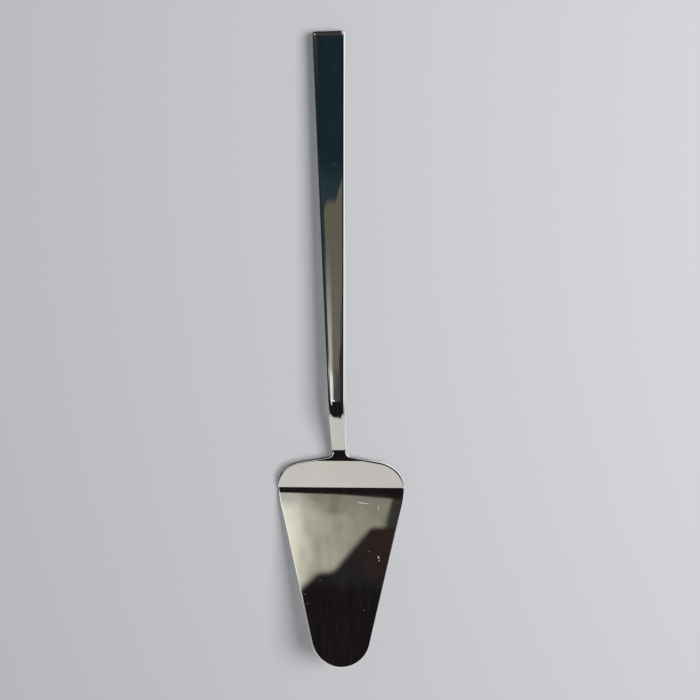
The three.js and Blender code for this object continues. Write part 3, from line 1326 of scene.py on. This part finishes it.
@dataclass(frozen=True)
class Patch:
    """A soft-edged patch of light or shade that the mirror finish sees, inside all of its edges.

    Its tones are lighter or darker patches on it, and its mottle is how much clouds dim it.
    """

    colour: Colour
    edges: tuple[SoftEdge, ...]
    tones: tuple["Patch", ...] = ()
    mottle: float = 0.0
    cloud: Cell = (0.011, 0.022, 1.0)
    cloud_span: Span = (0.3, 0.6)
    cloud_detail: float = 2.0

    def cover(self, board: Board, under: Value, x: Value, y: Value) -> bpy.types.NodeSocket:
        """Wires the patch over what is there already.

        Args:
            board: The board of the material or of the world.
            under: The colour so far.
            x: Place across.
            y: Place along.

        Returns:
            The colour with the patch over it.
        """
        share: Value = 1.0
        for edge in self.edges:
            share = board.math("MULTIPLY", share, edge.share(board, x, y))
        shade: Value = self.colour
        for tone in self.tones:
            shade = tone.cover(board, shade, x, y)
        if self.mottle:
            shade = self.clouded(board, shade, x, y)
        return board.blend(share, under, shade)

    def clouded(self, board: Board, shade: Value, x: Value, y: Value) -> bpy.types.NodeSocket:
        """Dims a colour in clouds.

        Args:
            board: The board of the material or of the world.
            shade: The colour.
            x: Place across.
            y: Place along.

        Returns:
            The clouded colour.
        """
        spot = board.node("ShaderNodeCombineXYZ")
        board.feed(spot.inputs[0], x)
        board.feed(spot.inputs[1], y)
        cloud = board.noise(spot.outputs[0], self.cloud, self.cloud_detail)
        dimmed = board.node("ShaderNodeVectorMath", operation="SCALE")
        board.feed(dimmed.inputs[0], shade)
        board.feed(dimmed.inputs["Scale"], 1 - self.mottle)
        return board.blend(board.ease(cloud, *self.cloud_span), dimmed.outputs[0], shade)


# Cards that only the steel shows


def hang_card(
    name: str, lie: Lie, centre: Place, size: tuple[float, float], material: bpy.types.Material
) -> bpy.types.Object:
    """Adds a card that shows only in the steel.

    Args:
        name: The card's name.
        lie: How the card is hung.
        centre: Its middle.
        size: Its size along each of its two axes.
        material: Its paint.

    Returns:
        The card.
    """
    Bench.clear()
    bpy.ops.mesh.primitive_plane_add(size=1)
    card = bpy.context.object
    card.name = name
    card.scale = (*size, 1)
    if lie is Lie.UPRIGHT:
        card.rotation_euler.y = math.pi / 2
    card.location = centre
    bpy.ops.object.transform_apply(location=True, rotation=True, scale=True)
    card.data.materials.append(material)
    card.visible_camera = False
    card.visible_diffuse = False
    card.visible_shadow = False
    return card


def glowing_paint(
    name: str,
) -> tuple[bpy.types.Material, Board, list[bpy.types.NodeSocket], bpy.types.Node]:
    """Starts the paint of a card, which glows.

    Args:
        name: The paint's name.

    Returns:
        The material, its board, the place on the card by axis, and the glow.
    """
    material, board, place = new_material(name)
    board.tree.nodes.remove(board.tree.nodes["Principled BSDF"])
    return material, board, board.split(place), board.node("ShaderNodeEmission")


@dataclass(frozen=True)
class LightCard:
    """A pale card with soft edges, which lights the steel for someone who looks from another side."""

    name: str
    lie: Lie
    centre: Place
    size: tuple[float, float]
    colour: Colour
    softness: float

    def build(self) -> bpy.types.Object:
        """Adds the card and gives it back."""
        return hang_card(self.name, self.lie, self.centre, self.size, self.paint())

    def paint(self) -> bpy.types.Material:
        """Makes the card's paint.

        Returns:
            A material that glows with the card's colour and thins out towards its edges.
        """
        material, board, place, glow = glowing_paint(f"{self.name}_paint")
        board.feed(glow.inputs["Color"], self.colour)
        share: Value = 1.0
        for axis, length in zip(self.lie.value, self.size):
            off_centre = board.math("SUBTRACT", place[axis], self.centre[axis])
            from_edge = board.math("SUBTRACT", length / 2, board.math("ABSOLUTE", off_centre))
            share = board.math("MULTIPLY", share, board.ease(from_edge, 0.0, self.softness))
        mixed = board.node("ShaderNodeMixShader")
        board.feed(mixed.inputs[0], share)
        board.feed(mixed.inputs[1], board.node("ShaderNodeBsdfTransparent").outputs[0])
        board.feed(mixed.inputs[2], glow.outputs[0])
        board.feed(board.tree.nodes["Material Output"].inputs["Surface"], mixed.outputs[0])
        return material


@dataclass(frozen=True)
class Canopy:
    """A card low over the handle that shows only in the steel: dark at the butt, brown elsewhere.

    Places on it are in metres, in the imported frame.
    """

    height: float = 95 * MM
    left: float = -400 * MM
    right: float = 110 * MM
    near: float = -36 * MM
    far: float = 260 * MM
    shade: Colour = (0.0123, 0.027, 0.038)
    brown: Colour = (0.158, 0.144, 0.110)
    warm_brown: Colour = (0.187, 0.168, 0.132)

    def patches(self) -> list[Patch]:
        """Lists the shades on the card, from the undermost to the topmost.

        Returns:
            The patches in the order in which they cover each other.
        """
        return [*self.over_the_handle(), *self.over_the_foot()]

    def over_the_handle(self) -> list[Patch]:
        """Lists the shades over the long handle.

        Returns:
            The dusk at the butt, the room behind it, and the browns that rise to the right.
        """
        left_slope = SoftEdge(3.7, -1, -109.4 * MM, 5 * MM)
        right_slope = SoftEdge(3.35, -1, -87.5 * MM, 5 * MM)
        return [
            Patch((0.027, 0.05, 0.064), (before(72 * MM, 18 * MM),)),
            Patch((0.06, 0.057, 0.05), (beyond(172 * MM, 70 * MM),)),
            Patch((0.062, 0.057, 0.046), (left_of(-20 * MM, 6 * MM), beyond(120 * MM, 40 * MM))),
            Patch(self.brown, (left_slope, before(60.6 * MM, 5 * MM))),
            Patch(self.brown, (left_slope, right_slope, before(67.5 * MM, 4 * MM))),
            Patch(self.warm_brown, (left_slope, before(32 * MM, 40 * MM))),
            Patch((0.085, 0.105, 0.13), (right_of(-5.8 * MM, 2 * MM), before(12 * MM, 16 * MM))),
        ]

    def over_the_foot(self) -> list[Patch]:
        """Lists the shades over the handle's foot, next to the knee.

        Returns:
            The foot's grey, its left and right sides, and the bright line that ends in a gleam.
        """
        ends = (before(-18 * MM, 8 * MM), beyond(-25 * MM, 8 * MM))
        line_sides = (left_of(-11.6 * MM, 1.6 * MM), right_of(-66 * MM, 30 * MM))
        return [
            Patch((0.08, 0.09, 0.1), (before(-16.5 * MM, 9 * MM),)),
            Patch((0.15, 0.145, 0.115), (left_of(-9.8 * MM, 1.4 * MM), *ends)),
            Patch((0.06, 0.036, 0.034), (right_of(-7.5 * MM, 0.8 * MM), before(-8 * MM, 8 * MM))),
            Patch((0.56, 0.56, 0.52), (*line_sides, before(15 * MM, 60 * MM))),
            Patch((1.1, 1.1, 1.04), (*line_sides, before(-18 * MM, 6 * MM))),
        ]

    def build(self) -> bpy.types.Object:
        """Adds the card.

        Returns:
            The card, which only reflections see.
        """
        centre = ((self.left + self.right) / 2, (self.far + self.near) / 2, self.height)
        size = (self.right - self.left, self.far - self.near)
        return hang_card("canopy", Lie.LEVEL, centre, size, self.paint())

    def paint(self) -> bpy.types.Material:
        """Makes the card's paint.

        Returns:
            A material that glows with the card's shades.
        """
        material, board, (x, y, _), glow = glowing_paint("canopy_paint")
        colour: Value = self.shade
        for patch in self.patches():
            colour = patch.cover(board, colour, x, y)
        board.feed(glow.inputs["Color"], colour)
        board.feed(board.tree.nodes["Material Output"].inputs["Surface"], glow.outputs[0])
        return material


# The room and the studio


@dataclass(frozen=True)
class Room:
    """A dim room with a pale wall and soft-edged cards, which only the steel shows.

    Places on the cards are slopes: x and y of a direction, each divided by its height.
    Spans are the values between which the wall, its clouds or the ground come in.
    """

    fill: Colour = (0.34, 0.34, 0.345)
    backdrop: Colour = (0.78, 0.78, 0.79)
    dark: Colour = (0.013, 0.0098, 0.0108)
    corner: Colour = (0.5, 0.5, 0.51)
    card: Colour = (0.53, 0.52, 0.415)
    card_mottle: float = 0.2
    least_height: float = 0.02
    wall: Colour = (0.80, 0.785, 0.78)
    wall_shade: Colour = (0.765, 0.75, 0.72)
    wall_cloud: Cell = (0.09, 0.09, 0.09)
    wall_cloud_span: Span = (0.35, 0.65)
    wall_detail: float = 2.0
    wall_top: float = math.tan(math.radians(47.3))
    wall_top_span: Span = (0.0, -0.02)
    wall_reach: float = 1.65
    wall_end_span: Span = (0.03, -0.03)
    wall_middle: float = 0.45
    wall_fall: float = 0.5
    ground: Colour = (0.03, 0.036, 0.045)
    ground_span: Span = (0.0, -0.1)
    front_ground: Colour = (1.0, 1.02, 1.05)
    front_slant: float = 0.42
    front_span: Span = (0.05, -0.15)
    bright_ground: Colour = (1.15, 1.25, 1.28)
    bright_slant: float = 0.35
    bright_along: Span = (-0.1, 0.1)
    bright_across: Span = (0.0, 0.2)

    def patches(self) -> list[Patch]:
        """Lists what hangs in the room, from the farthest to the nearest.

        Returns:
            The patches in the order in which they cover each other.
        """
        top_left = SoftEdge(-0.0276, -1, -0.1695, 0.0008)
        top_right = SoftEdge(-0.081, -1, -0.1636, 0.0008)
        return [*self.far_patches(), *self.strips(top_right), *self.cards((top_left, top_right))]

    def far_patches(self) -> list[Patch]:
        """Lists the farthest patches.

        Returns:
            The back wall, a glow on the left, the pale corners and a window on the left.
        """
        back_wall = Patch((0.06, 0.057, 0.05), (beyond(0.9, 0.3),))
        glow_edges = (left_of(-0.19, 0.03), right_of(-2.6, 0.6), before(0.3, 0.1))
        left_glow = Patch((1.6, 1.6, 1.5), (*glow_edges, SoftEdge(-0.27, 1, 0.135, 0.05)))
        corners = []
        for right in (1, -1):
            reach = (SoftEdge(right, 0, 0.8, 0.3), beyond(0.7, 0.3))
            spread = (SoftEdge(right, -0.4, 0.2, 0.2), SoftEdge(-0.35 * right, 1, 0, 0.2))
            corners.append(Patch(self.corner, (*reach, *spread)))
        window_edges = (left_of(-0.22, 0.04), right_of(-0.95, 0.3), before(-0.1, 0.05))
        left_window = Patch((1.0, 1.0, 0.94), (*window_edges, beyond(-0.4, 0.06)))
        return [back_wall, left_glow, *corners, left_window]

    def strips(self, top: SoftEdge) -> list[Patch]:
        """Lists the dim strips to the right of the cards.

        Args:
            top: Their top edge.

        Returns:
            A grey strip, a reddish one and an olive one.
        """
        bounds = (left_of(0.3, 0.1), top)
        return [
            Patch((0.022, 0.021, 0.021), (right_of(-0.122, 0.02), beyond(0.108, 0.014), *bounds)),
            Patch((0.032, 0.0205, 0.0195), (right_of(-0.096, 0.012), beyond(0.114, 0.014), *bounds)),
            Patch((0.045, 0.043, 0.034), (right_of(-0.084, 0.006), beyond(0.149, 0.004), *bounds)),
        ]

    def cards(self, top: tuple[SoftEdge, ...]) -> list[Patch]:
        """Lists the pale cards that the blade mirrors, which together make a stepped shape.

        Args:
            top: Their top edges.

        Returns:
            The cards, which share their tones.
        """
        # These sides bound a darker spot near the top middle of the cards, the last tone below: a painted
        # reflection of shade that the blade mirrors, not a mark on the steel
        dim_spot_sides = (right_of(-0.124, 0.02), left_of(-0.108, 0.02))
        tones = (
            Patch((0.36, 0.35, 0.29), (right_of(-0.105, 0.03),)),
            Patch((0.31, 0.30, 0.245), (beyond(0.163, 0.012), right_of(-0.139, 0.012))),
            Patch((1.08, 1.07, 0.93), (left_of(-0.1405, 0.03), before(0.17, 0.012))),
            Patch((1.3, 1.3, 1.2), (left_of(-0.17, 0.03),)),
            Patch((0.61, 0.615, 0.56), (beyond(0.1655, 0.012), left_of(-0.141, 0.018))),
            Patch((0.28, 0.27, 0.22), (*dim_spot_sides, beyond(0.158, 0.008), before(0.164, 0.006))),
        )
        sides = (SoftEdge(-1, 0.196, 0.1086, 0.005), right_of(-0.8, 0.3))
        lower_edges = (
            (SoftEdge(-1.2, 1, 0.257, 0.009), beyond(0.1165, 0.006)),
            (SoftEdge(-0.9, 1, 0.2312, 0.009), beyond(0.1, 0.01)),
            (beyond(0.149, 0.005),),
        )
        return [Patch(self.card, (*top, *sides, *lower), tones, self.card_mottle) for lower in lower_edges]

    def build(self) -> None:
        """Makes the world: even light for the floor, and the room for the steel."""
        world = bpy.data.worlds.new("studio")
        bpy.context.scene.world = world
        world.use_nodes = True
        board = Board(world.node_tree)
        direction = board.node("ShaderNodeTexCoord").outputs["Generated"]
        x, y, z = board.split(direction)
        height = board.math("MAXIMUM", z, self.least_height)
        across = board.math("DIVIDE", x, height)
        along = board.math("DIVIDE", y, height)

        mirrored: Value = self.dark
        for patch in self.patches():
            mirrored = patch.cover(board, mirrored, across, along)
        mirrored = self.raise_wall(board, mirrored, direction)
        mirrored = self.lay_ground(board, mirrored, direction)
        ray = board.node("ShaderNodeLightPath").outputs
        colour = board.blend(ray["Is Camera Ray"], self.fill, self.backdrop)
        colour = board.blend(ray["Is Glossy Ray"], colour, mirrored)
        board.feed(board.tree.nodes["Background"].inputs["Color"], colour)

    def raise_wall(
        self, board: Board, under: Value, direction: bpy.types.NodeSocket
    ) -> bpy.types.NodeSocket:
        """Wires the pale wall in front of the tip, whose top falls to both sides.

        Args:
            board: The world's board.
            under: The colour so far.
            direction: Where a ray goes.

        Returns:
            The colour with the wall over it.
        """
        x, y, z = board.split(direction)
        sideways = board.math("ABSOLUTE", x)
        past_middle = board.math("MAXIMUM", board.math("SUBTRACT", sideways, self.wall_middle), 0.0)
        top = board.weigh(z, self.wall_top, past_middle, self.wall_fall)
        below_top = board.ease(board.math("ADD", y, top), *self.wall_top_span)
        within_ends = board.ease(board.weigh(y, self.wall_reach, sideways, 1.0), *self.wall_end_span)
        cloud = board.noise(direction, self.wall_cloud, self.wall_detail)
        plaster = board.blend(board.ease(cloud, *self.wall_cloud_span), self.wall, self.wall_shade)
        return board.blend(board.math("MULTIPLY", below_top, within_ends), under, plaster)

    def lay_ground(
        self, board: Board, under: Value, direction: bpy.types.NodeSocket
    ) -> bpy.types.NodeSocket:
        """Wires the ground below the horizon, which is pale in front and brightest on the right.

        Args:
            board: The world's board.
            under: The colour so far.
            direction: Where a ray goes.

        Returns:
            The colour with the ground over it.
        """
        x, y, z = board.split(direction)
        sideways = board.math("ABSOLUTE", x)
        front = board.ease(board.weigh(y, 1.0, sideways, self.front_slant), *self.front_span)
        rightward = board.ease(board.weigh(y, 1.0, x, self.bright_slant), *self.bright_along)
        bright = board.math("MULTIPLY", rightward, board.ease(x, *self.bright_across))
        ground = board.blend(front, self.ground, self.front_ground)
        ground = board.blend(bright, ground, self.bright_ground)
        return board.blend(board.ease(z, *self.ground_span), under, ground)


@dataclass(frozen=True)
class Studio:
    """A pale floor, one soft lamp, the room, and cards for the steel to mirror."""

    room: Room = Room()
    canopy: Canopy = Canopy()
    floor_size: float = 40.0
    floor_colour: Colour = (0.66, 0.67, 0.69)
    floor_roughness: float = 0.9
    floor_gloss: float = 0.1
    lamp_place: Place = (0.62, 0.1, 0.75)
    lamp_size: float = 0.5
    lamp_power: float = 7.0
    front_place: Place = (0, -284 * MM, 95 * MM)
    front_size: tuple[float, float] = (520 * MM, 272 * MM)
    front_softness: float = 60 * MM
    side_place: Place = (50 * MM, -127 * MM, 25 * MM)
    side_size: tuple[float, float] = (46 * MM, 126 * MM)
    side_softness: float = 20 * MM
    left_colour: Colour = (0.62, 0.62, 0.61)
    right_colour: Colour = (0.38, 0.38, 0.375)

    def build(self) -> None:
        """Adds the floor, the lamp, the room and the cards."""
        self.lay_floor()
        self.hang_lamp()
        self.room.build()
        self.canopy.build()
        for card in self.light_cards():
            card.build()

    def light_cards(self) -> list[LightCard]:
        """Lists the cards round the blade that the photograph's view doesn't show.

        Returns:
            A card in front of the tip, and one on each side of the blade.
        """
        x, y, z = self.side_place
        sides = (("left_card", -x, self.left_colour), ("right_card", x, self.right_colour))
        return [
            LightCard(
                "front_card",
                Lie.LEVEL,
                self.front_place,
                self.front_size,
                self.room.wall,
                self.front_softness,
            ),
            *(
                LightCard(name, Lie.UPRIGHT, (place, y, z), self.side_size, colour, self.side_softness)
                for name, place, colour in sides
            ),
        ]

    def lay_floor(self) -> None:
        """Adds the pale floor, which the steel doesn't mirror: the room has a darker ground for that."""
        Bench.clear()
        bpy.ops.mesh.primitive_plane_add(size=self.floor_size, location=(0, 0, 0))
        floor = bpy.context.object
        floor.name = "floor"
        material = bpy.data.materials.new("floor_paper")
        material.use_nodes = True
        shader = material.node_tree.nodes["Principled BSDF"]
        shader.inputs["Base Color"].default_value = (*self.floor_colour, 1)
        shader.inputs["Roughness"].default_value = self.floor_roughness
        shader.inputs["Specular IOR Level"].default_value = self.floor_gloss
        floor.data.materials.append(material)
        floor.visible_glossy = False

    def hang_lamp(self) -> None:
        """Adds a large soft lamp that lights the floor but isn't mirrored in the steel."""
        data = bpy.data.lights.new("soft_lamp", "AREA")
        data.shape = "SQUARE"
        data.size = self.lamp_size
        data.energy = self.lamp_power
        lamp = bpy.data.objects.new("soft_lamp", data)
        bpy.context.scene.collection.objects.link(lamp)
        lamp.location = self.lamp_place
        lamp.rotation_euler = Vector(self.lamp_place).to_track_quat("Z", "Y").to_euler()
        lamp.visible_glossy = False


def main() -> None:
    """Builds the pieces, dresses them and sets the scene."""
    logging.basicConfig(level=logging.INFO, format="%(name)s: %(message)s")
    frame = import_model()
    bpy.context.scene.view_settings.view_transform = "Standard"
    profile = Profile()
    resting = Resting().matrix(frame["record"])

    View().build()
    Studio().build()

    grain = PolishGrain().group()
    marks = HandlingMarks().group()
    blade = BladeSheet(profile).build(resting)
    blade.data.materials.append(PolishedSteel("blade_polish", grain, marks).material())
    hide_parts("blade")
    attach(blade, "root")
    LOG.info("%s: %d faces", blade.name, len(blade.data.polygons))

    shells = HandleShells(profile)
    handle_polish = PolishedSteel("handle_polish", grain, marks, marked_share=0.05, line_scatter=0.012)
    handle_steel = handle_polish.material()
    for side, node in ((Side.FRONT, "handle_front_shell"), (Side.BACK, "handle_back_shell")):
        shell = shells.build(side, resting)
        shell.data.materials.append(handle_steel)
        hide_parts(node)
        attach(shell, "root")
        LOG.info("%s: %d faces", shell.name, len(shell.data.polygons))

    filler = bpy.data.objects["handle_filler"]
    filler.data.materials.clear()
    filler.data.materials.append(Cement().material())
    LOG.info("handle_filler: dressed as cement")


if __name__ == "__main__":
    main()
